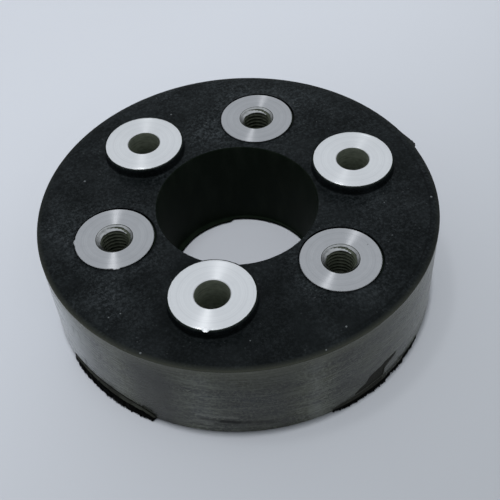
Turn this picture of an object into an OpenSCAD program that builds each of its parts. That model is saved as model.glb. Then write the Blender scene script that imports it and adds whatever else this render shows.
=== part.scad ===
// Flexible engine coupling: a moulded rubber ring that holds three plain and three threaded aluminium bushes.
// The origin is on the coupling's axis, in the plane of the bushes' lower ends. +Z runs up along the axis.
// A threaded bush lies on +Y and a plain bush on -Y. Bushes of the two kinds take turns round the ring.

/* [Rubber ring] */
// Diameter at the upper rim
outer_d = 150; // [140:1:165]
// Thickness from the underside to the flat top face
ring_t = 39; // [30:0.5:50]
// Draft of the outer wall in degrees, wider towards the underside
wall_draft = 0.25; // [0.25:0.25:2]
// Width of the sloping band between the top face and the rim
rim_band = 3.4; // [2:0.1:6]
// How far the band falls towards the rim
rim_drop = 0.3; // [0.2:0.1:1]
// Rounding of the upper rim
rim_round = 0.8; // [0.2:0.1:1.5]
// Rounding of the lower edge
foot_round = 0.6; // [0.2:0.1:1]

/* [Centre bore] */
// Diameter of the bore at the top face
bore_d = 60.8; // [50:0.2:62]
// Draft of the bore in degrees, narrower towards the underside
bore_draft = 2; // [0.25:0.25:3]
// Rounding of the bore's upper mouth
mouth_round = 0.5; // [0.2:0.1:1]

/* [Bushes] */
// Diameter of the circle through the bushes' axes
pcd = 95; // [92:0.5:105]
// Outer diameter of a plain bush
plain_d = 30; // [26:0.5:32]
// Outer diameter of a threaded bush
threaded_d = 29; // [26:0.5:32]
// How far the bushes' lower ends stand out of the underside
base_proud = 0.4; // [0.2:0.1:1]
// How far a plain bush stands above the top face
plain_proud = 4.4; // [2:0.2:6]
// How far a threaded bush stands above the top face
threaded_proud = 0.8; // [0.4:0.1:2]
// Bore of a plain bush, for an M12 bolt
plain_hole_d = 12.5; // [12.5:0.5:14]
// Chamfer at both mouths of a plain bore
plain_mouth = 0.3; // [0.1:0.1:1]
// Chamfer of a plain bush's outer edges
plain_edge = 0.15; // [0.05:0.05:0.5]
// Nominal diameter of the thread
thread_d = 12; // [10:1:14]
// Pitch of the thread
thread_pitch = 1.75; // [1.25:0.25:2]
// Diameter of the countersink at both mouths of the thread
thread_mouth_d = 13.4; // [12.5:0.1:16]
// Chamfer of a threaded bush's outer edges
threaded_edge = 0.2; // [0.1:0.05:0.5]

/* [Rubber collars] */
// Thickness of the rubber round a plain bush, above the top face
collar_wall = 0.7; // [0.5:0.1:1.5]
// How far the collar's top lies below the bush's end
collar_set_back = 0.3; // [0.1:0.1:1]
// Rounding of the collar's upper edge
collar_round = 0.3; // [0.1:0.1:0.5]
// Fillet between the collar and the top face
collar_fillet = 0.8; // [0.3:0.1:2]

/* [Moulding flash] */
// Reach of the torn lip at the lower edge, on the left of the front
left_lip_reach = 1.4; // [0.5:0.1:2]
// Height of that lip on the wall
left_lip_h = 5.7; // [4:0.1:8]
// Thickness of its torn edge
left_lip_t = 2.8; // [1:0.1:3.5]
// Reach of the torn lip at the lower edge, on the right of the front
right_lip_reach = 1.2; // [0.5:0.1:2]
// Height of that lip on the wall
right_lip_h = 3; // [2.7:0.1:5]
// Thickness of its torn edge
right_lip_t = 1.8; // [1:0.1:2.5]
// Reach of the fin on the upper rim
rim_fin_reach = 1.2; // [0.5:0.1:2]
// Thickness of the fin on the upper rim
rim_fin_t = 0.6; // [0.3:0.1:1]
// Reach of the fin inside the bore's lower mouth
bore_fin_reach = 2.6; // [1:0.1:4]
// Thickness of the fin inside the bore's lower mouth
bore_fin_t = 0.9; // [0.4:0.1:2]

/* [Hidden] */
$fn = 96;

bush_gap_angle = 120;
plain_start = 270;
threaded_start = 90;

underside_z = base_proud;
face_z = underside_z + ring_t;
rim_z = face_z - rim_drop;
plain_top_z = face_z + plain_proud;
threaded_top_z = face_z + threaded_proud;
collar_top_z = plain_top_z - collar_set_back;

rim_r = outer_d / 2;
foot_r = rim_r + (rim_z - underside_z) * tan(wall_draft);
bore_r = bore_d / 2;
bore_foot_r = bore_r - ring_t * tan(bore_draft);
plain_r = plain_d / 2;
threaded_r = threaded_d / 2;
collar_r = plain_r + collar_wall;

// A basic ISO thread's bore is 1.0825 pitches narrower than its nominal diameter.
minor_ratio = 1.0825;
thread_bore_d = thread_d - minor_ratio * thread_pitch;

arc_steps = 5;
torn_step = 1.25;
past = 1;
flash_root = 2;
flash_bite = 0.3;

// Flash by [angle, share of its full reach]
left_lip = [[221.5, 0], [222, 0.5], [228, 0.7], [240, 0.95], [254.5, 1], [255.5, 0]];
right_lip = [[304, 0], [306, 0.6], [312, 0.85], [320, 1], [324, 0.6], [331, 0.5], [333, 0.2], [340, 0]];
rim_fin = [[28, 0], [33, 0.6], [39, 1], [41, 0]];
bore_fin = [[60, 0], [68, 0.5], [107, 0.6], [109, 1], [165, 1], [178, 0]];

// Points of an arc about centre c, from angle a0 to angle a1
function arc(c, r, a0, a1) =
    [for (i = [0:arc_steps]) let (a = a0 + (a1 - a0) * i / arc_steps) c + r * [cos(a), sin(a)]];

// A torn edge's unevenness at angle a, from 0.7 to 1
function torn(a) = 0.85 + 0.08 * sin(53 * a) + 0.07 * sin(131 * a + 40);

function polar(r, a) = r * [cos(a), sin(a)];

function first_angle(flash) = flash[0][0];
function last_angle(flash) = flash[len(flash) - 1][0];

// Outline of flash from radius r0, where it is rooted, past radius r, where it shows
function torn_outline(flash, r0, r, reach) = concat(
    [for (a = [first_angle(flash):torn_step:last_angle(flash)])
        polar(r + reach * lookup(a, flash) * torn(a), a)],
    [for (a = [last_angle(flash):-3 * torn_step:first_angle(flash)]) polar(r0, a)]);

// Wall radius of the ring at a height above the underside
function wall_r(h) = foot_r - h * tan(wall_draft);

// Section of the ring without its bore
module ring_section() {
    band_lean = atan(rim_drop / rim_band);
    polygon(concat(
        [[0, underside_z]],
        arc([foot_r - foot_round, underside_z + foot_round], foot_round, -90, 0),
        arc([rim_r - rim_round, rim_z - rim_round], rim_round, 0, 90 - band_lean),
        [[rim_r - rim_band, face_z], [0, face_z]]));
}

// Section of the space that the bore takes
module bore_section() {
    polygon(concat(
        [[0, underside_z - past], [bore_foot_r - past * tan(bore_draft), underside_z - past]],
        arc([bore_r + mouth_round, face_z - mouth_round], mouth_round, 180, 90),
        [[bore_r + mouth_round, plain_top_z + past], [0, plain_top_z + past]]));
}

// Section of the rubber that rises round a plain bush
module collar_section() {
    polygon(concat(
        [[0, face_z - past], [collar_r + collar_fillet, face_z - past]],
        arc([collar_r + collar_fillet, face_z + collar_fillet], collar_fillet, 270, 180),
        arc([collar_r - collar_round, collar_top_z - collar_round], collar_round, 0, 90),
        [[0, collar_top_z]]));
}

// Puts its children on the bush circle, three times, from a starting angle
module round_the_circle(start) {
    for (i = [0:2]) at_bush(start, i) children();
}

module at_bush(start, i) {
    rotate(start + bush_gap_angle * i) translate([pcd / 2, 0, 0]) children();
}

// A torn skirt on the lower edge: it slopes out from the wall and ends in a ragged edge of thickness edge_t
module lip(flash, reach, height, edge_t) {
    root_r = foot_r - flash_root;
    tip_r = foot_r + reach;
    intersection() {
        translate([0, 0, underside_z])
            rotate_extrude()
                polygon([[root_r, 0], [tip_r, 0], [tip_r, edge_t],
                         [wall_r(height), height], [root_r, height]]);
        linear_extrude(face_z)
            polygon(torn_outline(flash, root_r - past, foot_r - flash_bite, reach + flash_bite));
    }
}

module fin_on_rim() {
    translate([0, 0, rim_z - rim_round - rim_fin_t])
        linear_extrude(rim_fin_t)
            polygon(torn_outline(rim_fin, rim_r - flash_root, rim_r - flash_bite, rim_fin_reach));
}

module fin_in_bore() {
    translate([0, 0, underside_z])
        linear_extrude(bore_fin_t)
            polygon(torn_outline(
                bore_fin, bore_foot_r + flash_root, bore_foot_r + flash_bite, -bore_fin_reach));
}

// The seat in the rubber that a bush is bonded into
module pocket(r) {
    translate([0, 0, -past]) cylinder(r = r, h = plain_top_z + 2 * past);
}

module rubber_ring() {
    color([0.07, 0.075, 0.08]) {
        difference() {
            union() {
                rotate_extrude() ring_section();
                round_the_circle(plain_start) rotate_extrude() collar_section();
            }
            rotate_extrude() bore_section();
            round_the_circle(plain_start) pocket(plain_r);
            round_the_circle(threaded_start) pocket(threaded_r);
        }
        lip(left_lip, left_lip_reach, left_lip_h, left_lip_t);
        lip(right_lip, right_lip_reach, right_lip_h, right_lip_t);
        fin_on_rim();
        fin_in_bore();
    }
}

// A turned bush with a through hole: edge and mouth are its chamfers
module bush(r, length, hole_r, edge, mouth) {
    rotate_extrude()
        polygon([[hole_r + mouth, 0], [r - edge, 0], [r, edge], [r, length - edge], [r - edge, length],
                 [hole_r + mouth, length], [hole_r, length - mouth], [hole_r, mouth]]);
}

module plain_bush(i) {
    color([0.83, 0.84, 0.86])
        at_bush(plain_start, i) bush(plain_r, plain_top_z, plain_hole_d / 2, plain_edge, plain_mouth);
}

module threaded_bush(i) {
    mouth = (thread_mouth_d - thread_bore_d) / 2;
    color([0.74, 0.75, 0.77])
        at_bush(threaded_start, i) bush(threaded_r, threaded_top_z, thread_bore_d / 2, threaded_edge, mouth);
}

rubber_ring();
plain_bush(0);  // plain_bush_1
plain_bush(1);  // plain_bush_2
plain_bush(2);  // plain_bush_3
threaded_bush(0);  // threaded_bush_1
threaded_bush(1);  // threaded_bush_2
threaded_bush(2);  // threaded_bush_3
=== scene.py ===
import math

import bmesh
import bpy
import numpy as np
from mathutils import Matrix, Vector, noise
from mathutils.geometry import delaunay_2d_cdt


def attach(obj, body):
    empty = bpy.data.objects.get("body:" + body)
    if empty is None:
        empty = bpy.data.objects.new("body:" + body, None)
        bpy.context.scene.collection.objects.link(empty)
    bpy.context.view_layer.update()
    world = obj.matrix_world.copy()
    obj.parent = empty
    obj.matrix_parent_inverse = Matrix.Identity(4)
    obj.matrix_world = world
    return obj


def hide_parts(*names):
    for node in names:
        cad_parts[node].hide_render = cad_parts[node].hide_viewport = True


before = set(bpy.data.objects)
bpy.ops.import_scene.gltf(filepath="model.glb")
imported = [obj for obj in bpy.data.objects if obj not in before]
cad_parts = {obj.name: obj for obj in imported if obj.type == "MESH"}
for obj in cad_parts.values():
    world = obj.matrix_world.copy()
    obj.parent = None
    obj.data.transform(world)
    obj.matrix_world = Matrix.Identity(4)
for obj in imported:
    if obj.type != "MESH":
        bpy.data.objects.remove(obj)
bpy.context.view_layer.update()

# Sizes in millimetres, as in the CAD model. Angles are in degrees from +X.
MM = 0.001
UNDERSIDE_Z, FACE_Z = 0.4, 39.4
RING_T = FACE_Z - UNDERSIDE_Z
RIM_R, RIM_DROP, RIM_BAND, RIM_ROUND = 75.0, 0.3, 3.4, 0.8
RIM_Z = FACE_Z - RIM_DROP
# The wall is set in by this much from the wall of the CAD model.
SET_IN = 0.02
WALL_DRAFT = math.tan(math.radians(0.25))
FOOT_R = RIM_R + (RIM_Z - UNDERSIDE_Z) * WALL_DRAFT - SET_IN
FOOT_ROUND = 0.6
BORE_R, MOUTH_ROUND = 30.4, 0.5
BORE_DRAFT = math.tan(math.radians(2.0))
BORE_FOOT_R = BORE_R - RING_T * BORE_DRAFT
PITCH_CIRCLE_R = 47.5
PLAIN = {"r": 15.0, "top": 43.8, "hole": 6.25, "angles": (270, 30, 150)}
THREADED = {"r": 14.5, "top": 40.2, "mouth": 6.7, "angles": (90, 210, 330)}
COLLAR_WALL, COLLAR_FILLET, COLLAR_TOP = 0.7, 0.8, 43.5
SEAT_TOP = 39.95
THREAD_PITCH, MINOR_R, MAJOR_R, THREAD_START = 1.75, 5.053, 6.05, 0.35

# The part turns by this angle from the directions of the photograph.
TURN = math.radians(13.37)

# Tables of (angle, value). First the torn lips at the lower edge: the radius of their tips
LIP_TIP = (
    (222.3, 75.1), (222.7, 75.7), (224.5, 75.75), (228.5, 76.05), (234, 76.15), (239, 76.35), (246, 76.5),
    (252, 76.5), (254.6, 76.6), (255.1, 76.3), (255.3, 75.1), (304.2, 75.1), (306.7, 75.8), (311.4, 76.15),
    (315.5, 76.1), (319.5, 76.4), (322.6, 76.3), (324, 75.75), (327, 75.8), (330, 76.0), (332, 75.4),
    (333.5, 75.5), (337, 75.5), (339, 75.3), (340.5, 75.1),
)
# Height of their torn edge, and of the crease above it
TORN_H = (
    (222, 1.6), (223.6, 2.4), (226, 3.7), (230, 4.5), (236, 4.5), (241, 4.0), (247, 3.6), (252, 3.1),
    (253.8, 2.3), (255.3, 0.9), (304, 1.0), (308, 1.5), (320, 1.9), (330, 2.1), (331.5, 2.5), (336, 2.7),
    (341, 2.0),
)
CREASE_H = (
    (222, 3.0), (226, 4.6), (230, 5.3), (236, 5.8), (241, 6.0), (248, 5.3), (251, 4.4), (253.5, 3.1),
    (255.4, 1.5), (304, 2.1), (308, 2.9), (320, 3.2), (331, 3.0), (336, 3.6), (341, 2.8),
)
# An angle between the two lips, and the angle where the scarred part of the right lip's slant ends
BETWEEN_LIPS, SLANT_SCAR_END = 280, 322
# Upper and lower outline of the torn tongue on the wall, how deep it is torn, and how soft its edge is
TONGUE_UPPER = (
    (307, 1.2), (308, 1.7), (311.7, 3.6), (313.7, 5.7), (315.8, 6.6), (316.8, 9.0), (318.4, 9.9),
    (321.1, 10.4), (322.8, 11.4), (324.4, 11.5), (326.5, 11.1), (328.1, 11.5),
)
TONGUE_LOWER = ((322.3, 0), (322.6, 6.9), (323.7, 8.1), (325.3, 8.9), (326.7, 9.7), (328.1, 11.4))
TONGUE_DEPTH, TONGUE_EDGE = 0.35, 0.4
# Reach of the fin on the rim
RIM_FIN = (
    (28, 0), (30, 0.12), (30.9, 0.2), (31.2, 1.0), (32.2, 1.3), (33, 1.2), (34.2, 0.95), (35.4, 0.6),
    (36.6, 0.3), (38, 0.1), (39, 0),
)
# Shares of the full reach of the fin in the bore, by angle, and the height above the underside where it ends
BORE_FIN = (
    (20, 0), (55, 0.3), (75, 0.52), (95, 0.55), (106.5, 0.5), (108.5, 0.62), (110, 0.95), (130, 1),
    (165, 0.9), (180, 0),
)
BORE_FIN_TOP = 1.3
# Burrs on the edges of two bushes: how far they stand out, by angle round the bush
PLAIN_BURR = ((267, 0), (269, 0.5), (271, 1.0), (273.5, 0.75), (275, 1.05), (277, 0.3), (278, 0))
THREADED_BURR = (
    (186, 0), (188.5, -0.2), (190.5, 0), (192, 0.35), (197, 0.4), (199.5, 0), (283, 0), (286, 0.8),
    (288, 0.3), (290, 0.9), (292, 0),
)
# How far the edges of the plain bushes are uneven
EDGE_UNEVEN = 0.16

# Film of dust and painted light on the wall, by angle: above 0.2 paler, a film of dust with a painted
# reflection of light from the left, and below 0.2 darker
WALL_DUST_AND_LIGHT = (
    (0, 0.25), (180, 0.4), (202, 1), (222, 1), (230, 0.6), (238, 0.3), (246, 0.25), (252, 0.02), (260, 0),
    (266, 0.2), (271, 0.24), (276, 0.1), (292, 0.06), (300, 0.28), (307, 0.1), (320, 0.1), (345, 0.25),
)
# Patches of dust on the top face: angle, distance from the axis, size and strength
TOP_HAZE = (
    (118, 42, 9, 0.5), (100, 67, 10, 0.3), (235, 63, 9, 0.5), (198, 63, 10, 0.35), (330, 66, 8, 0.08),
    (124, 72, 4, 0.6), (76, 66, 10, 0.3), (8, 55, 10, 0.2),
)
# Direction in which the top face was wiped
WIPED_X, WIPED_Y = math.cos(math.radians(40)), math.sin(math.radians(40))
# Scratches on the wall: a line from (angle, height) to (angle, height), half its width, and its strength
WALL_MARKS = (
    ((303.9, 34.6), (305.6, 34.0), 0.22, 0.8),
    ((305.6, 34.0), (308.3, 33.8), 0.2, 0.8),
    ((308.3, 33.8), (310.4, 32.7), 0.18, 0.6),
    ((228.6, 28.7), (228.2, 23.9), 0.2, 0.6),
    ((231.3, 29.0), (231.5, 23.8), 0.2, 0.6),
    ((230.3, 11.0), (230.2, 8.4), 0.45, 0.8),
    ((249.4, 26.6), (249.6, 26.3), 0.4, 0.8),
    ((247.5, 24.3), (247.2, 24.0), 0.35, 0.7),
    ((234.5, 10.9), (234.9, 10.6), 0.4, 0.7),
    ((240.0, 25.7), (240.1, 25.4), 0.3, 0.6),
    ((239.3, 31.5), (239.5, 31.3), 0.3, 0.6),
    ((323.0, 17.7), (324.8, 18.5), 0.4, 0.5),
    ((264.6, 9.6), (265.0, 9.4), 0.4, 0.7),
    ((255.8, 4.6), (259.0, 2.6), 0.3, 0.6),
    ((256.2, 1.6), (261.5, 0.9), 0.3, 0.5),
)
# Soft smudges low on the front of the wall, and pale streaks beside them, given as the scratches are
SMUDGES = (
    ((269.0, 8.7), (274.6, 8.2), 0.15, 0.45),
    ((274.4, 7.9), (279.0, 7.3), 0.5, 0.8),
    ((279.0, 7.4), (284.5, 6.7), 0.45, 0.5),
    ((266.5, 4.6), (272.0, 4.0), 0.1, 0.35),
    ((271.0, 6.0), (276.5, 5.5), 0.1, 0.3),
    ((284.0, 6.6), (287.5, 5.6), 0.8, 0.3),
)
PALE_STREAKS = (((268.0, 11.3), (278.5, 10.3), 0.2, 0.4), ((266.5, 6.6), (272.0, 6.2), 0.2, 0.3))
# Pale specks of dust on the top face: x, y and radius
TOP_SPECKS = (
    (45.7, -52.2, 0.3), (40.1, -62.1, 0.2), (-19.8, -71.0, 0.3), (-34.0, -58.4, 0.2), (-60.7, 4.4, 0.35),
    (54.5, 6.0, 0.15), (71.5, 11.0, 0.35), (-35.7, 46.7, 0.32), (-30.4, -56.3, 0.2),
)


def table(a, points):
    """The value at angle a, read between the points of a table."""
    return np.interp(a, [p[0] for p in points], [p[1] for p in points])


def smooth_noise(*where):
    """Noise between -1 and 1 at a place given by three numbers."""
    return noise.noise(Vector(where))


def jagged(a, rate, seed):
    """Uneven between -1 and 1, with the same value at every run."""
    finer, share = 3.1, 0.65
    out = []
    for v in np.atleast_1d(a):
        out.append(smooth_noise(v * rate, seed, 0) + share * smooth_noise(v * rate * finer, seed, 7))
    return np.clip(np.array(out), -1, 1)


def spaced(*spans):
    """Angles with a step of their own in each span, given as (first, last, step)."""
    return np.concatenate([np.arange(first, last, step) for first, last, step in spans])


class Mesh:
    """Collects grids and sheets of faces in millimetres and welds them into one mesh."""

    def __init__(self):
        self.verts, self.faces, self.mats, self.count = [], [], [], 0

    def add(self, pts):
        """Takes up the points and gives the index of the first."""
        start = self.count
        self.verts.append(np.asarray(pts, float).reshape(-1, 3))
        self.count += len(self.verts[-1])
        return start

    def grid(self, pts, mats, flip=False):
        """Rows of points that close round. mats has one index, or one per column, for each row of faces."""
        rows, cols = pts.shape[:2]
        start = self.add(pts)
        for i in range(rows - 1):
            row_mats = np.broadcast_to(mats[i], cols)
            for j in range(cols):
                k = (j + 1) % cols
                low, high = start + i * cols, start + (i + 1) * cols
                f = (low + j, low + k, high + k, high + j)
                self.faces.append(f[::-1] if flip else f)
                self.mats.append(int(row_mats[j]))

    def sheet(self, pts, keep, mat, up):
        """A triangulated sheet through pts, of which keep(x, y) says what stays."""
        flat = [Vector((p[0], p[1])) for p in pts]
        made = delaunay_2d_cdt(flat, [], [], 0, 1e-7)
        coords, tris, origin = made[0], made[2], made[3]
        start = self.add([(c[0], c[1], pts[o[0]][2]) for c, o in zip(coords, origin)])
        for t in tris:
            a, b, c = (coords[i] for i in t)
            if keep((a[0] + b[0] + c[0]) / 3, (a[1] + b[1] + c[1]) / 3):
                f = tuple(start + i for i in t)
                ccw = (b[0] - a[0]) * (c[1] - a[1]) - (b[1] - a[1]) * (c[0] - a[0]) > 0
                self.faces.append(f if ccw == up else f[::-1])
                self.mats.append(mat)

    def build(self, name, materials, sharp, place=(0, 0, 0)):
        """The finished object at a place in millimetres, with its edges over sharp degrees kept sharp."""
        weld, tiny = 2e-6, 1e-7
        me = bpy.data.meshes.new(name)
        me.from_pydata((np.concatenate(self.verts) * MM).tolist(), [], self.faces)
        for m in materials:
            me.materials.append(m)
        me.polygons.foreach_set("material_index", self.mats)
        bm = bmesh.new()
        bm.from_mesh(me)
        bmesh.ops.remove_doubles(bm, verts=bm.verts, dist=weld)
        bmesh.ops.dissolve_degenerate(bm, edges=bm.edges, dist=tiny)
        bmesh.ops.recalc_face_normals(bm, faces=bm.faces)
        bm.to_mesh(me)
        bm.free()
        me.shade_smooth()
        me.set_sharp_from_angle(angle=math.radians(sharp))
        o = bpy.data.objects.new(name, me)
        o.location = Vector(place) * MM
        bpy.context.scene.collection.objects.link(o)
        return o


def ring_pts(r, z, angles, cx=0.0, cy=0.0):
    """Points round an axis at cx and cy, with a radius and a height for all angles or for each."""
    a = np.radians(angles)
    r, z = np.broadcast_to(r, a.shape), np.broadcast_to(z, a.shape)
    return np.stack([cx + r * np.cos(a), cy + r * np.sin(a), z], -1)


def bush_centre(angle):
    """Where the axis of the bush at this angle lies, as x and y."""
    a = math.radians(angle)
    return PITCH_CIRCLE_R * math.cos(a), PITCH_CIRCLE_R * math.sin(a)


class Nodes:
    """A small helper for building a material's node tree."""

    def __init__(self, name, color):
        self.mat = bpy.data.materials.new(name)
        self.mat.use_nodes = True
        self.mat.diffuse_color = (*color, 1)
        self.tree = self.mat.node_tree
        self.shader = self.tree.nodes["Principled BSDF"]

    def node(self, kind, **settings):
        """A new node of this kind, with its settings."""
        n = self.tree.nodes.new(kind)
        for k, v in settings.items():
            setattr(n, k, v)
        return n

    def put(self, socket, value):
        """Links another node's output to the socket, or sets the socket to a plain value."""
        if hasattr(value, "is_output"):
            self.tree.links.new(value, socket)
        else:
            socket.default_value = value

    def math(self, op, a, b=0.0, c=0.0, clamp=False):
        """One math node, on up to three sockets or numbers."""
        n = self.node("ShaderNodeMath", operation=op, use_clamp=clamp)
        for s, v in zip(n.inputs, (a, b, c)):
            self.put(s, v)
        return n.outputs[0]

    def coords(self, scale=(1, 1, 1)):
        """Object coordinates in millimetres, times scale."""
        t = self.node("ShaderNodeTexCoord")
        m = self.node("ShaderNodeMapping")
        m.inputs["Scale"].default_value = [v / MM for v in scale]
        self.put(m.inputs["Vector"], t.outputs["Object"])
        return m.outputs["Vector"]

    def split(self, vector):
        """The x, y and z of a vector."""
        n = self.node("ShaderNodeSeparateXYZ")
        self.put(n.inputs[0], vector)
        return n.outputs

    def length(self, x, y):
        """The length of the vector (x, y)."""
        return self.math("SQRT", self.math("MULTIPLY_ADD", x, x, self.math("MULTIPLY", y, y)))

    def noise(self, vector, scale, detail=3.0, rough=0.55):
        """Noise between 0 and 1, with about scale waves to each unit of the vector."""
        n = self.node("ShaderNodeTexNoise")
        for k, v in (("Vector", vector), ("Scale", scale), ("Detail", detail), ("Roughness", rough)):
            self.put(n.inputs[k], v)
        return n.outputs["Fac"]

    def ramp(self, value, *stops):
        """A colour ramp through stops of (position, grey or colour)."""
        n = self.node("ShaderNodeValToRGB")
        self.put(n.inputs["Fac"], value)
        e = n.color_ramp.elements
        while len(e) < len(stops):
            e.new(0.5)
        for el, (pos, v) in zip(e, stops):
            el.position = pos
            el.color = (v, v, v, 1) if isinstance(v, (int, float)) else (*v, 1)
        return n.outputs["Color"]

    def mix(self, fac, a, b):
        """Colour a where fac is 0 and colour b where it is 1."""
        first_color, second_color, color_out = 6, 7, 2
        n = self.node("ShaderNodeMix", data_type="RGBA")
        self.put(n.inputs["Factor"], fac)
        for s, v in ((n.inputs[first_color], a), (n.inputs[second_color], b)):
            self.put(s, (*v, 1) if isinstance(v, tuple) else v)
        return n.outputs[color_out]

    def bump(self, height, distance, strength, normal=None):
        """A bump of distance in millimetres, on top of another bump where normal is given."""
        n = self.node("ShaderNodeBump")
        n.inputs["Strength"].default_value = strength
        n.inputs["Distance"].default_value = distance * MM
        self.put(n.inputs["Height"], height)
        if normal is not None:
            self.put(n.inputs["Normal"], normal)
        return n.outputs["Normal"]

    def attribute(self, name):
        """The number that paint() has given to each vertex."""
        return self.node("ShaderNodeAttribute", attribute_name=name).outputs["Fac"]

    def specks(self, vector, cell, size, share):
        """Small round specks: one in a share of the cells, each up to size of a cell wide."""
        v = self.node("ShaderNodeTexVoronoi")
        self.put(v.inputs["Vector"], vector)
        v.inputs["Scale"].default_value = 1 / cell
        color = self.node("ShaderNodeSeparateColor")
        self.put(color.inputs[0], v.outputs["Color"])
        some = self.math("GREATER_THAN", color.outputs[0], 1 - share)
        reach = self.math("MULTIPLY", color.outputs[1], size)
        near = self.math("LESS_THAN", v.outputs["Distance"], reach)
        return self.math("MULTIPLY", some, near)

    def line(self, u, v, p, q, half, soft=0.35):
        """1 on the line from p to q in the plane of u and v, falling to 0 just past half its width."""
        du, dv = q[0] - p[0], q[1] - p[1]
        a, b = self.math("SUBTRACT", u, p[0]), self.math("SUBTRACT", v, p[1])
        dot = self.math("MULTIPLY_ADD", a, du, self.math("MULTIPLY", b, dv))
        t = self.math("DIVIDE", dot, max(du * du + dv * dv, 1e-6), clamp=True)
        off = self.length(self.math("MULTIPLY_ADD", t, -du, a), self.math("MULTIPLY_ADD", t, -dv, b))
        return self.math("MULTIPLY_ADD", off, -1 / soft, half / soft + 1, clamp=True)

    def largest(self, values):
        """The largest of many values."""
        out = values[0]
        for v in values[1:]:
            out = self.math("MAXIMUM", out, v)
        return out

    def set(self, **values):
        """Sets or links the shader's inputs, named with _ for each space, and gives the material back."""
        for k, v in values.items():
            self.put(self.shader.inputs[k.replace("_", " ")], v)
        return self.mat


def rubber_top():
    """Dusty moulded rubber, for the top face, the rim and the collars."""
    black, dust_tone, fleck_tone, speck_tone = (
        (0.0014, 0.0024, 0.0027), (0.1, 0.118, 0.13), (0.085, 0.097, 0.1), (0.125, 0.138, 0.145),
    )
    band_tone, crease_shade_tone, edge_tone = (0.028, 0.031, 0.026), (0.001, 0.0016, 0.0018), (0.05, 0.053, 0.042)
    n = Nodes("rubber_top", (0.03, 0.033, 0.036))
    p = n.coords()
    x, y, z = n.split(p)
    dust_and_light = n.attribute("dust_and_light")

    # Dust lies in the grain, in strokes where the face was wiped, and over all as a thin veil.
    grain = n.noise(p, 1.0, 4, 0.75)
    dust = n.ramp(grain, (0.42, 0.0), (0.5, 0.25), (0.64, 1.0))
    # The attribute that scales the dust also carries painted light: paler towards the back and the left, and
    # round the threaded bushes.
    dusty = n.math("MULTIPLY", dust, n.math("MULTIPLY_ADD", dust_and_light, 0.35, 0.035))
    along = n.math("MULTIPLY_ADD", x, WIPED_X, n.math("MULTIPLY", y, WIPED_Y))
    across = n.math("MULTIPLY_ADD", x, -WIPED_Y, n.math("MULTIPLY", y, WIPED_X))
    way = n.node("ShaderNodeCombineXYZ")
    n.put(way.inputs[0], n.math("MULTIPLY", along, 0.1))
    n.put(way.inputs[1], n.math("MULTIPLY", across, 0.75))
    strokes = n.ramp(n.noise(way.outputs[0], 1.0, 4, 0.6), (0.5, 0.0), (0.68, 1.0))
    dusty = n.math("ADD", dusty, n.math("MULTIPLY", n.math("MULTIPLY", strokes, dust_and_light), 0.13))
    cloud = n.ramp(n.noise(p, 0.07, 4, 0.62), (0.42, 0.0), (0.7, 1.0))
    veil = n.math("MULTIPLY_ADD", dust_and_light, 0.01, n.math("MULTIPLY", cloud, 0.045))
    color = n.mix(n.math("ADD", dusty, veil, clamp=True), black, dust_tone)

    # The rim's band and edge are paler at the front, and a faint crease inside the band on the right is
    # painted dark, as painted shade in the crease.
    # front is 0 as far as y = -front_w, and grows to 1 at twice that.
    front_w, crease_per_mm = 22, 1 / 160
    front = n.math("MULTIPLY_ADD", y, -1 / front_w, -1.0, clamp=True)
    band = n.ramp(n.math("MULTIPLY_ADD", z, -1 / RIM_DROP, FACE_Z / RIM_DROP), (0.55, 0.0), (1.0, 1.0))
    band = n.math("MULTIPLY", band, n.math("MULTIPLY_ADD", front, 0.3, 0.2))
    color = n.mix(band, color, band_tone)
    # Painted shade: a dark line where the crease runs, stronger to the right.
    from_crease = n.math("ABSOLUTE", n.math("SUBTRACT", n.length(x, y), RIM_R - RIM_BAND))
    crease = n.math("MULTIPLY_ADD", from_crease, -2.0, 1.2, clamp=True)
    crease = n.math("MULTIPLY", crease, n.math("MULTIPLY_ADD", x, crease_per_mm, 0.08, clamp=True))
    color = n.mix(crease, color, crease_shade_tone)
    edge = n.ramp(n.math("MULTIPLY_ADD", z, -1 / RIM_ROUND, RIM_Z / RIM_ROUND), (0.0, 0.0), (0.45, 0.8))
    color = n.mix(n.math("MULTIPLY", edge, n.math("MULTIPLY_ADD", front, 0.65, 0.35)), color, edge_tone)

    flecks = n.specks(p, 1.8, 0.2, 0.5)
    color = n.mix(n.math("MULTIPLY", flecks, n.math("MULTIPLY_ADD", dust_and_light, 0.5, 0.08)), color, fleck_tone)
    placed = n.largest([n.line(x, y, (sx, sy), (sx, sy), r, 0.12) for sx, sy, r in TOP_SPECKS])
    specks = n.math("MAXIMUM", n.math("MULTIPLY", n.specks(p, 8.5, 0.045, 0.3), 0.6), placed)
    color = n.mix(n.math("MULTIPLY", specks, 0.75), color, speck_tone)

    rough = n.math("MULTIPLY_ADD", grain, 0.25, 0.42)
    bumpy = n.bump(n.noise(p, 2.2, 3, 0.6), 0.06, 0.5)
    bumpy = n.bump(n.noise(p, 0.3, 2, 0.5), 0.1, 0.35, bumpy)
    return n.set(Base_Color=color, Roughness=rough, Normal=bumpy, Specular_IOR_Level=0.06)


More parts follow.
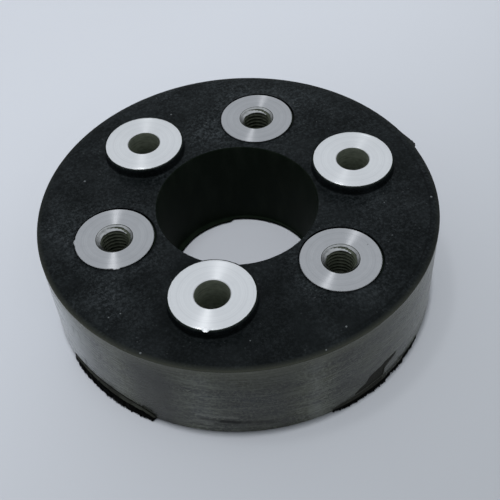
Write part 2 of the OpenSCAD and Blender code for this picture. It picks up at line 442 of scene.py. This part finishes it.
def rubber_wall():
    """Rubber that the mould left glossy, with streaks round it, scratches, smudges, and a film of dust that
    also carries a painted reflection on the left.
    """
    olive, bluish, blot_tone = (0.024, 0.0275, 0.0105), (0.0135, 0.0172, 0.0198), (0.04, 0.0455, 0.031)
    streak_tone, wide_tone, speckle_tone = (0.112, 0.123, 0.1), (0.008, 0.0095, 0.007), (0.11, 0.12, 0.096)
    darkened_tone, film_and_reflection_tone, pale_tone = (0.005, 0.006, 0.0035), (0.5, 0.53, 0.55), (0.16, 0.17, 0.15)
    smudge_tone, mark_tone, upper_tone = (0.003, 0.003, 0.003), (0.004, 0.004, 0.0035), (0.075, 0.079, 0.057)
    upper_h, worn_h = 7, 1.2
    n = Nodes("rubber_wall", (0.035, 0.037, 0.036))
    p = n.coords()
    x, y, z = n.split(p)
    round_mm = n.math("MULTIPLY", n.math("ARCTAN2", y, x), RIM_R)
    dust_and_light = n.attribute("dust_and_light")

    def drawn(lines, soft):
        """The lines of a list of marks on the wall, each at its own strength."""
        out = []
        for p0, p1, half, much in lines:
            ends = [(math.radians(v[0] - 360) * RIM_R, v[1]) for v in (p0, p1)]
            out.append(n.math("MULTIPLY", n.line(round_mm, z, *ends, half, soft), much))
        return n.largest(out)

    # The bare rubber, with streaks of the mould and finer speckles
    cool = n.ramp(n.noise(p, 0.05, 3, 0.5), (0.44, 0.0), (0.58, 1.0))
    blot = n.noise(p, 0.06, 4, 0.62)
    streak = n.noise(n.coords((0.09, 0.09, 1.5)), 1.0, 5, 0.65)
    wide = n.noise(n.coords((0.03, 0.03, 0.16)), 1.0, 4, 0.6)
    speckle = n.ramp(n.noise(p, 0.95, 3, 0.7), (0.47, 0.0), (0.64, 0.8))
    color = n.mix(cool, olive, bluish)
    color = n.mix(n.ramp(blot, (0.4, 0.0), (0.68, 1.0)), color, blot_tone)
    color = n.mix(n.ramp(streak, (0.5, 0.0), (0.66, 1.0)), color, streak_tone)
    color = n.mix(n.ramp(wide, (0.47, 0.0), (0.62, 0.9)), color, wide_tone)
    color = n.mix(speckle, color, speckle_tone)

    # What lies on it or is scratched into it, with painted light in the film
    # Below 0.2 the wall is darker. Above it the pale film is dust together with a painted reflection of light
    # from the left.
    darkened = n.math("MULTIPLY_ADD", dust_and_light, -4.0, 0.8, clamp=True)
    color = n.mix(darkened, color, darkened_tone)
    film = n.math("MULTIPLY_ADD", dust_and_light, 1.25, -0.25, clamp=True)
    color = n.mix(n.math("MULTIPLY", film, n.math("MULTIPLY_ADD", blot, 1.1, 0.08)), color, film_and_reflection_tone)
    color = n.mix(drawn(PALE_STREAKS, 0.9), color, pale_tone)
    smudge = drawn(SMUDGES, 0.9)
    color = n.mix(smudge, color, smudge_tone)
    pits = n.math("MULTIPLY", n.specks(p, 3.4, 0.12, 0.14), 0.6)
    color = n.mix(n.math("MAXIMUM", drawn(WALL_MARKS, 0.35), pits), color, mark_tone)
    # Paler and more olive over the top upper_h mm of the wall.
    upper = n.ramp(n.math("MULTIPLY_ADD", z, 1 / upper_h, 1 - RIM_Z / upper_h), (0.0, 0.0), (0.9, 1.0))
    color = n.mix(n.math("MULTIPLY", upper, 0.7), color, upper_tone)

    worn = n.ramp(n.math("SUBTRACT", z, RIM_Z - worn_h), (0.2, 0.0), (0.8, 1.0))
    rough = n.math("MULTIPLY_ADD", streak, 0.2, n.math("MULTIPLY_ADD", worn, 0.4, 0.12))
    rough = n.math("MULTIPLY_ADD", blot, 0.12, n.math("MULTIPLY_ADD", smudge, 0.7, rough))
    bumpy = n.bump(streak, 0.04, 0.4)
    bumpy = n.bump(n.noise(p, 0.8, 3, 0.6), 0.05, 0.35, bumpy)
    bumpy = n.bump(n.noise(p, 0.12, 3, 0.6), 0.2, 0.3, bumpy)
    return n.set(
        Base_Color=color,
        Roughness=rough,
        Normal=bumpy,
        Specular_IOR_Level=0.3,
        Sheen_Weight=0.09,
        Sheen_Roughness=0.35,
    )


def rubber_torn(name, dark, light, specular, left=None):
    """Torn rubber, crumbly and dull. A tone for the left is smeared over the left lip."""
    left_lip_x = -10.0
    n = Nodes(name, light)
    p = n.coords()
    crumb = n.noise(p, 1.6, 4, 0.7)
    color = n.mix(n.ramp(crumb, (0.45, 0.0), (0.75, 1.0)), dark, light)
    if left:
        on_left = n.math("LESS_THAN", n.split(p)[0], left_lip_x)
        smear = n.math("MULTIPLY", on_left, n.ramp(n.noise(p, 0.1), (0.35, 0.0), (0.62, 0.65)))
        color = n.mix(smear, color, left)
    rough = n.math("MULTIPLY_ADD", crumb, 0.2, 0.7)
    bumpy = n.bump(crumb, 0.25, 0.8)
    return n.set(Base_Color=color, Roughness=rough, Normal=bumpy, Specular_IOR_Level=specular)


def rubber_bore():
    """Dark, slightly green rubber inside the bore and the pockets."""
    dark, smear_tone, speck_tone = (0.0045, 0.0078, 0.0048), (0.012, 0.0165, 0.012), (0.12, 0.125, 0.13)
    n = Nodes("rubber_bore", (0.02, 0.02, 0.02))
    p = n.coords()
    smear = n.noise(n.coords((0.18, 0.18, 0.06)), 1.0, 4, 0.6)
    color = n.mix(n.ramp(smear, (0.45, 0.0), (0.8, 0.8)), dark, smear_tone)
    color = n.mix(n.specks(p, 8.0, 0.05, 0.2), color, speck_tone)
    rough = n.math("MULTIPLY_ADD", smear, 0.2, 0.5)
    bumpy = n.bump(n.noise(p, 1.2, 3), 0.05, 0.5)
    return n.set(Base_Color=color, Roughness=rough, Normal=bumpy, Specular_IOR_Level=0.05)


def turned(name, light, shade, rough_low, grain):
    """Metal faced on a lathe: rings round the piece's own axis, and light that fans out across them."""
    mark_tone = (0.16, 0.16, 0.17)
    n = Nodes(name, light)
    x, y, _ = n.split(n.coords())
    line = n.node("ShaderNodeCombineXYZ")
    n.put(line.inputs[0], n.length(x, y))
    rings = n.noise(line.outputs[0], 1.6, 4, 0.7)
    wide = n.noise(line.outputs[0], 0.55, 2, 0.5)

    # Handling marks lie by the place in the part, so no two bushes have the same ones.
    place = n.node("ShaderNodeNewGeometry").outputs["Position"]
    spot = n.node("ShaderNodeVectorMath", operation="SCALE")
    n.put(spot.inputs[0], place)
    spot.inputs["Scale"].default_value = 1 / MM
    handled = n.noise(spot.outputs[0], 0.3, 3, 0.6)
    marks = n.specks(spot.outputs[0], 5.0, 0.06, 0.2)

    fac = n.math("MULTIPLY_ADD", rings, 0.65, n.math("MULTIPLY", wide, 0.35))
    color = n.mix(n.ramp(fac, (0.4, 0.0), (0.6, 1.0)), shade, light)
    color = n.mix(n.ramp(handled, (0.5, 0.0), (0.8, 0.35)), color, shade)
    color = n.mix(n.math("MULTIPLY", marks, 0.7), color, mark_tone)
    rough = n.math("MULTIPLY_ADD", rings, 0.1, n.math("MULTIPLY_ADD", handled, 0.06, rough_low))
    bumpy = n.bump(rings, 0.03, 0.3)
    spin = n.node("ShaderNodeTangent", direction_type="RADIAL", axis="Z")
    return n.set(
        Base_Color=color,
        Metallic=1.0,
        Roughness=rough,
        Normal=bumpy,
        Anisotropic=grain,
        Anisotropic_Rotation=0.25,
        Tangent=spin.outputs[0],
    )


def bore_metal(name, light, shade, metallic, rough_low):
    """Metal inside the holes, with fine lines round the hole and a film of oil."""
    n = Nodes(name, light)
    lines = n.noise(n.coords((0.06, 0.06, 4.2)), 1.0, 3, 0.6)
    film = n.noise(n.coords(), 0.5, 3, 0.6)
    fac = n.math("MULTIPLY_ADD", lines, 0.6, n.math("MULTIPLY", film, 0.4))
    color = n.mix(n.ramp(fac, (0.35, 0.0), (0.65, 1.0)), shade, light)
    rough = n.math("MULTIPLY_ADD", lines, 0.2, rough_low)
    return n.set(Base_Color=color, Metallic=metallic, Roughness=rough, Normal=n.bump(lines, 0.03, 0.4))


# Places of the materials on the rubber, and on a bush
TOP, WALL, TORN, BORE, SCAR = range(5)
FACED, HOLED, CONED = range(3)
RUBBER = [
    rubber_top(),
    rubber_wall(),
    rubber_torn("rubber_torn", (0.0008, 0.0009, 0.0008), (0.0035, 0.0038, 0.0034), 0.03),
    rubber_bore(),
    rubber_torn("rubber_scar", (0.011, 0.0115, 0.009), (0.034, 0.033, 0.027), 0.2, (0.062, 0.068, 0.058)),
]
FACE_PLAIN = turned("turned_plain", (0.77, 0.785, 0.805), (0.665, 0.68, 0.70), 0.255, 0.86)
FACE_THREADED = turned("turned_threaded", (0.49, 0.50, 0.52), (0.40, 0.41, 0.43), 0.27, 1.0)
HOLE_PLAIN = bore_metal("reamed_bore", (0.39, 0.43, 0.345), (0.165, 0.185, 0.15), 0.5, 0.45)
HOLE_THREADED = bore_metal("cut_thread", (0.085, 0.095, 0.07), (0.03, 0.036, 0.024), 0.9, 0.4)
CONE = bore_metal("countersink", (0.52, 0.53, 0.54), (0.2, 0.205, 0.205), 1.0, 0.18)


def wall_r(z):
    """Radius of the bare wall at heights above the underside."""
    low = np.clip(FOOT_ROUND - z, 0, FOOT_ROUND)
    return FOOT_R - z * WALL_DRAFT - FOOT_ROUND + np.sqrt(FOOT_ROUND**2 - low**2)


def tongue(a, z):
    """1 inside the torn tongue low on the right of the wall, which climbs to a point on the right."""
    upper, lower = table(a, TONGUE_UPPER), table(a, TONGUE_LOWER)
    inside = np.clip((upper - z) / TONGUE_EDGE, 0, 1) * np.clip((z - lower) / TONGUE_EDGE, 0, 1)
    first, last = TONGUE_UPPER[0][0], TONGUE_UPPER[-1][0]
    return np.where((a > first) & (a < last), inside, 0)


def wall_waves(a, z):
    """Slow waves over the wall, between -1 and 1."""
    return np.array([smooth_noise(v / 6, h / 5, 3) for v, h in zip(a, np.broadcast_to(z, a.shape))])


def outer_shell(m):
    """The wall with its torn lips and its tongue, the rim with its fin, and the band inside the rim."""
    a = spaced(
        (0, 25, 0.75), (25, 45, 0.3), (45, 210, 0.75), (210, 258, 0.25), (258, 300, 0.6), (300, 342, 0.25),
        (342, 360, 0.75),
    )
    rag, fine = jagged(a, 0.9, 3.0), jagged(a, 2.3, 9.0)

    # on is 1 along the lips and 0 on the bare wall, and left is 1 along the left lip only.
    proud = 0.12
    lip = table(a, LIP_TIP)
    on = np.clip((lip - FOOT_R) / proud, 0, 1)
    left = on * (a < BETWEEN_LIPS)
    tip = lip + on * (0.1 * fine + 0.12 * rag)
    high = table(a, TORN_H) * (1 + on * (0.16 * rag + 0.14 * fine))
    crease = np.maximum(table(a, CREASE_H) * (1 + 0.03 * jagged(a, 0.3, 15.0)), high + 0.5)

    def torn_row(z, k):
        """Radius of row k of the torn edge. It leans in towards its top, and each row has its own teeth."""
        teeth = 0.38 * jagged(a, 0.6, 50.0 + 0.07 * k) + 0.5 * jagged(a, 1.7, 70.0 + 0.12 * k)
        lean = 0.25 * np.clip(z / high, 0, 1) ** 2
        return (1 - on) * wall_r(z) + on * np.maximum(tip - lean + teeth, wall_r(z) + proud)

    rows, mats = [(np.full_like(a, FOOT_R - FOOT_ROUND), np.zeros_like(a))], []
    torn_mat = np.where(on > 0.3, TORN, WALL)
    heights = [np.full_like(a, v) for v in (0.08, 0.3, FOOT_ROUND)]
    heights += [FOOT_ROUND + (high - FOOT_ROUND) * u for u in (0.2, 0.4, 0.6, 0.8, 1.0)]
    for k, z in enumerate(heights):
        rows.append((torn_row(z, k), z))
        mats.append(torn_mat)

    # A ledge steps in above the torn edge, and a slant climbs from it to the crease.
    ledge_rise, ledge_least, ledge_share = 0.14, 0.1, 0.55
    below_crease, above_crease, fold_depth = 0.2, 0.3, 0.12
    ledge_z = high + ledge_rise
    wall = wall_r(ledge_z)
    ledge_r = wall + on * (ledge_least + ledge_share * (tip - wall - ledge_least))
    rows.append((ledge_r, ledge_z))
    mats.append(torn_mat)
    right_scar = (on > 0.5) & (a > BETWEEN_LIPS) & (a < SLANT_SCAR_END)
    slant_mat = np.where((left > 0.5) | right_scar, SCAR, WALL)
    for u in (0.25, 0.5, 0.75, 1.0):
        z = ledge_z + (crease - below_crease - ledge_z) * u
        fold = -fold_depth if u == 0.5 else 0.0
        rows.append((wall_r(z) + (ledge_r - wall) * (1 - u) + left * (fold + 0.1 * u), z))
        mats.append(slant_mat)
    # On the left lip the rows step into a groove at the crease, and the faces down into it take the
    # near-black torn rubber as painted shade in the groove.
    rows.append((wall_r(crease) - 0.2 * left - 0.08 * on, crease))
    mats.append(np.where(left > 0.5, TORN, WALL))
    rows.append((wall_r(crease + above_crease), crease + above_crease))
    mats.append(WALL)

    # The wall above has its rows closer together up to dense_z, for the tongue.
    waves = 0.03
    base_z, dense_z, top_z = rows[-1][1], 13.0, RIM_Z - UNDERSIDE_Z - RIM_ROUND
    levels = [base_z + (dense_z - base_z) * u for u in np.linspace(0, 1, 20)[1:]]
    levels += [np.full_like(a, z) for z in np.linspace(dense_z, top_z, 18)[1:]]
    for z in levels:
        rows.append((wall_r(z) - TONGUE_DEPTH * tongue(a, z) + waves * wall_waves(a, z) - waves, z))
        mats.append(np.where(tongue(a, z - 0.2) > 0.4, SCAR, WALL))

    # The fin pushes out the rows of the rim's rounding, each by a share of its reach.
    fin = table(a, RIM_FIN) * (0.9 + 0.3 * jagged(a, 2.2, 21.0))
    round_r = RIM_R - RIM_ROUND
    band_lean = math.degrees(math.atan(RIM_DROP / RIM_BAND))
    for v, push in zip((15, 35, 55, 72, 90 - band_lean), (0.35, 0.9, 0.9, 0.5, 0)):
        v = math.radians(v)
        rows.append((round_r + RIM_ROUND * math.cos(v) + fin * push, top_z + RIM_ROUND * math.sin(v)))
        mats.append(TOP)
    for u in (0.35, 0.7, 1.0):
        rows.append((round_r - (RIM_BAND - RIM_ROUND) * u, RIM_Z - UNDERSIDE_Z + RIM_DROP * u))
        mats.append(TOP)
    pts = np.stack([ring_pts(r, z + UNDERSIDE_Z, a) for r, z in rows])
    m.grid(pts, mats)
    return pts[0], pts[-1]


def bore_shell(m):
    """The bore, with the fin at its lower mouth and the rounding of its upper mouth."""
    a = np.arange(0, 360, 0.75)
    least, full, most = 0.08, 2.45, 2.6
    fin = table(a, BORE_FIN)
    reach = least + full * fin * (0.95 + 0.05 * jagged(a, 0.6, 31.0))
    reach = np.clip(reach + np.where(fin > 0.2, 0.06 * jagged(a, 2.5, 5.0), 0), 0.05, most)
    rows = [(BORE_FOOT_R + 0.6, 0.0), (BORE_FOOT_R - reach + 0.1, 0.0), (BORE_FOOT_R - reach, 0.25)]
    rows += [(BORE_FOOT_R - reach + 0.1, 0.75), (BORE_FOOT_R - 0.1 * reach, 0.95)]
    rows.append((BORE_FOOT_R + 1.1 * BORE_DRAFT, BORE_FIN_TOP))
    mats = [TORN, TORN, TORN, BORE, BORE]
    top = RING_T - MOUTH_ROUND
    for z in np.linspace(BORE_FIN_TOP, top, 20)[1:]:
        rows.append((BORE_FOOT_R + z * BORE_DRAFT, z))
        mats.append(BORE)
    for angle in (25, 50, 75, 90):
        v = math.radians(angle)
        rows.append((BORE_R + MOUTH_ROUND * (1 - math.cos(v)), top + MOUTH_ROUND * math.sin(v)))
        mats.append(BORE if angle <= 50 else TOP)
    pts = np.stack([ring_pts(r, z + UNDERSIDE_Z, a) for r, z in rows])
    m.grid(pts, mats, flip=True)
    return pts[0], pts[-1]


def collar_rows(wob, fine, _back):
    """The thin collar of rubber that rises round a plain bush, from its fillet to the bush."""
    r0, sway = PLAIN["r"], 0.1 * wob
    out, top = r0 + COLLAR_WALL + sway, COLLAR_TOP + 0.12 * wob + 0.05 * fine
    rows = [(r0 + COLLAR_WALL + COLLAR_FILLET, FACE_Z)]
    for v in np.radians([20, 45, 70, 90]):
        r = r0 + COLLAR_WALL + COLLAR_FILLET * (1 - math.sin(v)) + sway * math.sin(v)
        rows.append((r, FACE_Z + COLLAR_FILLET * (1 - math.cos(v))))
    rows += [(out, FACE_Z + 2.2), (out - 0.02, top - 0.3), (out - 0.12, top - 0.08), (out - 0.32, top)]
    return rows, r0, top


def seat_rows(wob, fine, back):
    """The low ridge of rubber round a threaded bush, and the gap between them, which is wider at the back."""
    gap_least, gap_more, gap_depth = 0.2, 0.6, 0.4
    r0, top, gap = THREADED["r"], SEAT_TOP + 0.07 * wob + 0.03 * fine, gap_least + gap_more * back
    rows = [(r0 + 1.7, FACE_Z), (r0 + gap + 0.6, FACE_Z + 0.06), (r0 + gap + 0.35, FACE_Z + 0.24)]
    rows += [(r0 + gap + 0.22, top - 0.1), (r0 + gap + 0.1, top), (r0 + gap + 0.05 * wob, top - 0.12)]
    rows.append((r0 + 0.8 * gap, FACE_Z - 0.3))
    return rows, r0, FACE_Z - gap_depth


def pockets(m):
    """The rubber round each bush, down through the ring to the underside."""
    a = np.arange(0, 360, 2.5)
    first_gap_row = 5
    # The unevenness fades out where the angles start again. back is 1 on a bush's side that faces back_at.
    back_at, fade_over = 65, 30
    ease = np.clip(np.minimum(a, 360 - a) / fade_over, 0, 1)
    back = np.clip(0.4 + np.cos(np.radians(a - back_at)), 0, 1)
    tops, feet, seed = [], [], 40.0
    for make, angles in ((collar_rows, PLAIN["angles"]), (seat_rows, THREADED["angles"])):
        for where in angles:
            seed += 5
            rows, r0, top = make(jagged(a, 0.05, seed) * ease, jagged(a, 0.4, seed + 20) * ease, back)
            # Round a threaded bush the faces down into the gap take the near-black torn rubber, as painted
            # shade in the gap.
            mats = [TORN if make is seat_rows and k >= first_gap_row else TOP for k in range(len(rows) - 1)]
            for z in (top - 0.1, 36.0, 20.0, 6.0, UNDERSIDE_Z):
                rows.append((r0, z))
                mats.append(BORE)
            pts = np.stack([ring_pts(r, z, a, *bush_centre(where)) for r, z in rows])
            m.grid(pts, mats, flip=True)
            tops.append(pts[0])
            feet.append(pts[-1])
    return tops, feet


def flat_sheet(m, outer, inner, loops, z, step, up, swell):
    """The top or bottom face between the outer loop, the bore and the pockets, as triangles step wide."""
    lim_o, lim_i = np.hypot(*outer[0][:2]), np.hypot(*inner[0][:2])
    holes = []
    for loop in loops:
        cx, cy = loop[:, 0].mean(), loop[:, 1].mean()
        holes.append((cx, cy, math.hypot(loop[0][0] - cx, loop[0][1] - cy)))

    def inside(x, y, gap):
        """Whether x and y lie on the face, clear of its edges by a gap."""
        clear = all(math.hypot(x - cx, y - cy) > r + gap for cx, cy, r in holes)
        return clear and lim_i + gap < math.hypot(x, y) < lim_o - gap

    pts = [tuple(p) for loop in (outer, inner, *loops) for p in loop]
    n = int(lim_o / step) + 1
    for i in range(-n, n + 1):
        for j in range(-n, n + 1):
            x, y = (i + 0.5 * (j % 2)) * step, j * step * math.sqrt(0.75)
            if inside(x, y, step * 0.6):
                pts.append((x, y, z + swell * smooth_noise(x / 14, y / 14, 0)))
    m.sheet(pts, lambda x, y: inside(x, y, 0), TOP if up else TORN, up)


def dust_and_light_at(x, y, z):
    """How dusty the rubber is at a point, and how much painted light it carries. The wall follows the wall's
    table by angle, and the collars are nearly clean.

    The top has more dust in patches. It is paler towards the left and the back, a painted light gradient for
    the light from there, and in a ring round the threaded bushes, a painted highlight where the rubber rises
    to them.
    """
    above_top, below_rim = z > FACE_Z + 0.4, z < RIM_Z - 0.9
    if above_top:
        return 0.05
    if below_rim:
        return float(table(math.degrees(math.atan2(y, x)) % 360, WALL_DUST_AND_LIGHT))
    # Paler towards the back and the left: painted light for the light that falls from there.
    v = 0.18 + (0.12 * y - 0.02 * x) / RIM_R
    # A paler ring round each threaded bush: a painted highlight where the rubber rises to the bush.
    halo_r, halo_w, halo_most = 16.5, 3.5, 0.24
    for where in THREADED["angles"]:
        cx, cy = bush_centre(where)
        v += halo_most * math.exp(-(((math.hypot(x - cx, y - cy) - halo_r) / halo_w) ** 2))
    for angle, r, size, much in TOP_HAZE:
        a = math.radians(angle)
        v += much * math.exp(-((math.hypot(x - r * math.cos(a), y - r * math.sin(a)) / size) ** 2))
    return min(1.0, max(0.0, v + 0.2 * smooth_noise(x / 9, y / 9, 3.0)))


def paint(o, name, value_at):
    """A number at each vertex, for the materials to read."""
    me = o.data
    co = np.empty(len(me.vertices) * 3)
    me.vertices.foreach_get("co", co)
    values = np.array([value_at(*c) for c in co.reshape(-1, 3) / MM], float)
    me.attributes.new(name, "FLOAT", "POINT").data.foreach_set("value", values)


ring = Mesh()
foot_loop, band_loop = outer_shell(ring)
bore_foot, bore_mouth = bore_shell(ring)
pocket_tops, pocket_feet = pockets(ring)
flat_sheet(ring, band_loop, bore_mouth, pocket_tops, FACE_Z, 1.6, True, 0.05)
flat_sheet(ring, foot_loop, bore_foot, pocket_feet, UNDERSIDE_Z, 4.0, False, 0.0)
rubber = ring.build("rubber_ring_moulded", RUBBER, 42)
paint(rubber, "dust_and_light", dust_and_light_at)


def plain_bush(name, where, burr):
    """A turned bush with a smooth bore, on the bush circle at an angle, with a burr on its edge or None."""
    m = Mesh()
    r, top, h, mouth, edge = PLAIN["r"], PLAIN["top"], PLAIN["hole"], 0.3, 0.15
    a = np.arange(0, 360, 1.5)
    out = EDGE_UNEVEN * np.clip(jagged(a, 0.22, 0.1 * where), 0, 1) + (table(a, burr) if burr else 0.0)
    groove = [(r - 1.02, top), (r - 0.94, top - 0.05), (r - 0.86, top)]
    profile = [(h, top - mouth), (h + 0.1, top - 0.14), (h + mouth, top), *groove]
    profile += [(r - edge + 0.7 * out, top), (r - 0.04 + out, top - 0.05), (r + 0.9 * out, top - 0.16)]
    profile += [(r, top - 0.3), (r, 30), (r, 15), (r, edge), (r - edge, 0), (h + mouth, 0), (h, mouth)]
    mats = [FACED] * (len(profile) - 1)
    bore = [(h, z) for z in (6, 14, 22, 30, 37)] + [profile[0]]
    profile += bore
    mats += [HOLED] * len(bore)
    m.grid(np.stack([ring_pts(v, z, a) for v, z in profile]), mats, flip=True)
    return m.build(name, [FACE_PLAIN, HOLE_PLAIN], 30, (*bush_centre(where), 0))


def thread_radius(z, a):
    """Radius of an internal right-hand thread at height z and angle a in degrees."""
    s = (z / THREAD_PITCH - a / 360.0 + THREAD_START) % 1.0
    minor_flat, major_flat = 0.25, 0.125
    flank = (1 - minor_flat - major_flat) / 2
    up = np.clip((s - minor_flat) / flank, 0, 1)
    down = np.clip((1 - s) / flank, 0, 1)
    return MINOR_R + (MAJOR_R - MINOR_R) * np.minimum(up, down)


def threaded_bush(name, where, burr):
    """A turned bush with a thread and countersinks, on the bush circle at an angle, with a burr or None."""
    m = Mesh()
    r, top, mouth, edge = THREADED["r"], THREADED["top"], THREADED["mouth"], 0.2
    a = np.arange(0, 360, 3.0)
    out = table(a, burr) if burr else 0.0
    rows_per_turn = 12
    rows, mats = [], []
    for z in np.linspace(0, top, round(top / THREAD_PITCH * rows_per_turn)):
        cone = mouth - min(z, top - z)
        cut = thread_radius(z, a)
        rows.append(ring_pts(np.maximum(cut, cone), z, a))
        mats.append(np.where(cut < cone, CONED, HOLED))
    m.grid(np.stack(rows), mats)
    profile = [(mouth, top), (mouth + 0.1, top - 0.14), (mouth + 0.22, top), (r - 1.0, top)]
    profile += [(r - edge + out, top), (r + out, top - edge), (r, top - 0.4)]
    profile += [(r, 20), (r, edge), (r - edge, 0), (mouth, 0)]
    # The side of the bush below its edge takes the dark thread metal, as painted shade where it stands in the
    # gap of the rubber.
    face_mats = [HOLED] * 2 + [FACED] * 3 + [HOLED] * 3 + [FACED] * 2
    m.grid(np.stack([ring_pts(v, z, a) for v, z in profile]), face_mats, flip=True)
    return m.build(name, [FACE_THREADED, HOLE_THREADED, CONE], 28, (*bush_centre(where), 0))


def fit(piece, node):
    """Puts a piece in the place of a CAD node, on the part's only body."""
    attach(piece, "root")
    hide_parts(node)


for i, where in enumerate(PLAIN["angles"], 1):
    burr = PLAIN_BURR if i == 1 else None
    fit(plain_bush(f"plain_bush_turned_{i}", where, burr), f"plain_bush_{i}")
for i, where in enumerate(THREADED["angles"], 1):
    burr = THREADED_BURR if i == 2 else None
    fit(threaded_bush(f"threaded_bush_turned_{i}", where, burr), f"threaded_bush_{i}")
fit(rubber, "rubber_ring")


def floor():
    """A pale floor that darkens softly from the far left to the near right of the photograph, as a painted
    falloff of the light from the back left.
    """
    me = bpy.data.meshes.new("floor")
    half = 6.0
    corners = [(-half, -half, 0), (half, -half, 0), (half, half, 0), (-half, half, 0)]
    me.from_pydata(corners, [], [(0, 1, 2, 3)])
    n = Nodes("floor_paper", (0.6, 0.62, 0.65))
    shaded_near_tone, lit_far_tone, blotch_tone = (0.342, 0.362, 0.391), (0.60, 0.63, 0.69), (0.5, 0.52, 0.55)
    # Here x and y count in steps of 100 mm, and so does the span in which the tone changes.
    x, y, _ = n.split(n.coords((0.01, 0.01, 0.01)))
    to_x, to_y = -0.583, 0.812
    along_x = to_x * math.cos(TURN) - to_y * math.sin(TURN)
    along_y = to_x * math.sin(TURN) + to_y * math.cos(TURN)
    along = n.math("MULTIPLY_ADD", x, along_x, n.math("MULTIPLY", y, along_y))
    span = n.node("ShaderNodeMapRange", interpolation_type="SMOOTHSTEP")
    for k, v in (("Value", along), ("From Min", -2.6), ("From Max", 1.5)):
        n.put(span.inputs[k], v)
    # Painted light: the tone falls from the lit far side to the shaded near side.
    color = n.mix(span.outputs[0], shaded_near_tone, lit_far_tone)
    paper = n.noise(n.coords(), 0.012, 3, 0.5)
    color = n.mix(n.ramp(paper, (0.4, 0.0), (0.7, 0.05)), color, blotch_tone)
    me.materials.append(n.set(Base_Color=color, Roughness=0.6, Specular_IOR_Level=0.15))
    o = bpy.data.objects.new("floor", me)
    bpy.context.scene.collection.objects.link(o)


def lamp(name, place, size, power, in_gloss):
    """A round lamp at a place given in the photograph's directions, aimed at the part."""
    aim = Vector((0, 0, 0.02))
    light = bpy.data.lights.new(name, "AREA")
    light.shape = "DISK"
    light.size = size
    light.energy = power
    o = bpy.data.objects.new(name, light)
    here = Matrix.Rotation(TURN, 3, "Z") @ Vector(place)
    o.location = here
    o.rotation_euler = (aim - here).to_track_quat("-Z", "Y").to_euler()
    o.visible_glossy = in_gloss
    bpy.context.scene.collection.objects.link(o)


def sun(name, lean, blur, strength):
    """Light from straight above, leaning by degrees to the right and to the back of the photograph."""
    light = bpy.data.lights.new(name, "SUN")
    light.energy = strength
    light.angle = math.radians(blur)
    o = bpy.data.objects.new(name, light)
    toward = Vector((math.tan(math.radians(lean[0])), math.tan(math.radians(lean[1])), 1))
    o.rotation_euler = (Matrix.Rotation(TURN, 3, "Z") @ toward).to_track_quat("Z", "Y").to_euler()
    o.location = (0, 0, 1)
    o.visible_glossy = False
    bpy.context.scene.collection.objects.link(o)


def room(light, seen):
    """Even light from all round, and the pale background that the camera and the reflections see."""
    low_share = 0.35
    world = bpy.data.worlds.new("soft_room")
    world.use_nodes = True
    tree = world.node_tree
    out, base = tree.nodes["World Output"], tree.nodes["Background"]
    base.inputs["Color"].default_value = (0.95, 0.98, 1.0, 1)
    base.inputs["Strength"].default_value = light

    def larger(a, b):
        n = tree.nodes.new("ShaderNodeMath")
        n.operation = "MAXIMUM"
        tree.links.new(a, n.inputs[0])
        tree.links.new(b, n.inputs[1])
        return n.outputs[0]

    # The background is even to the camera. In reflections it is darker towards the floor.
    pale = tree.nodes.new("ShaderNodeBackground")
    pale.inputs["Color"].default_value = (0.92, 0.96, 1.0, 1)
    way = tree.nodes.new("ShaderNodeTexCoord")
    height = tree.nodes.new("ShaderNodeSeparateXYZ")
    tree.links.new(way.outputs["Generated"], height.inputs[0])
    span = tree.nodes.new("ShaderNodeMapRange")
    span.interpolation_type = "SMOOTHSTEP"
    for k, v in (("From Min", 0.0), ("From Max", 0.5), ("To Min", low_share * seen), ("To Max", seen)):
        span.inputs[k].default_value = v
    tree.links.new(height.outputs[2], span.inputs["Value"])
    path = tree.nodes.new("ShaderNodeLightPath")
    steady = tree.nodes.new("ShaderNodeMath")
    steady.operation = "MULTIPLY"
    steady.inputs[1].default_value = seen
    tree.links.new(path.outputs["Is Camera Ray"], steady.inputs[0])
    tree.links.new(larger(steady.outputs[0], span.outputs[0]), pale.inputs["Strength"])

    # These three kinds of ray see the background, and all others the even light.
    either = path.outputs["Is Camera Ray"]
    for ray in ("Is Glossy Ray", "Is Transmission Ray"):
        either = larger(either, path.outputs[ray])
    both = tree.nodes.new("ShaderNodeMixShader")
    tree.links.new(either, both.inputs[0])
    tree.links.new(base.outputs[0], both.inputs[1])
    tree.links.new(pale.outputs[0], both.inputs[2])
    tree.links.new(both.outputs[0], out.inputs["Surface"])
    bpy.context.scene.world = world


def camera():
    """The photograph's own viewpoint, worked out from its ellipses.

    It is given in ring radii from the centre of the top face, and its lens in pixels of the photograph.
    """
    away, el, roll = 4.43207, math.radians(45.717), math.radians(-4.3275)
    focal_px, photo_px, sensor_mm = 885.6, 500, 36
    c = Vector((0, -away * math.cos(el), away * math.sin(el)))
    target = Vector((0.0426, -0.3245, 0))
    w = (target - c).normalized()
    r = w.cross(Vector((0, 0, 1))).normalized()
    u = r.cross(w)
    right = r * math.cos(roll) + u * math.sin(roll)
    up = u * math.cos(roll) - r * math.sin(roll)
    turn = Matrix.Rotation(TURN, 3, "Z")
    m = Matrix((turn @ right, turn @ up, turn @ -w)).transposed().to_4x4()
    m.translation = (turn @ c) * RIM_R * MM + Vector((0, 0, FACE_Z * MM))
    data = bpy.data.cameras.new("camera")
    data.sensor_width = sensor_mm
    data.lens = focal_px / photo_px * sensor_mm
    o = bpy.data.objects.new("camera", data)
    o.matrix_world = m
    bpy.context.scene.collection.objects.link(o)
    bpy.context.scene.camera = o


floor()
sun("skylight", (-0.6, 2.0), 3.5, 1.36)
lamp("softbox", (-0.1, 0.06, 1.3), 0.5, 1.2, False)
lamp("window", (-0.22, 0.08, 1.2), 0.12, 1.0, True)
room(0.5, 0.86)
camera()
bpy.context.scene.view_settings.view_transform = "Standard"
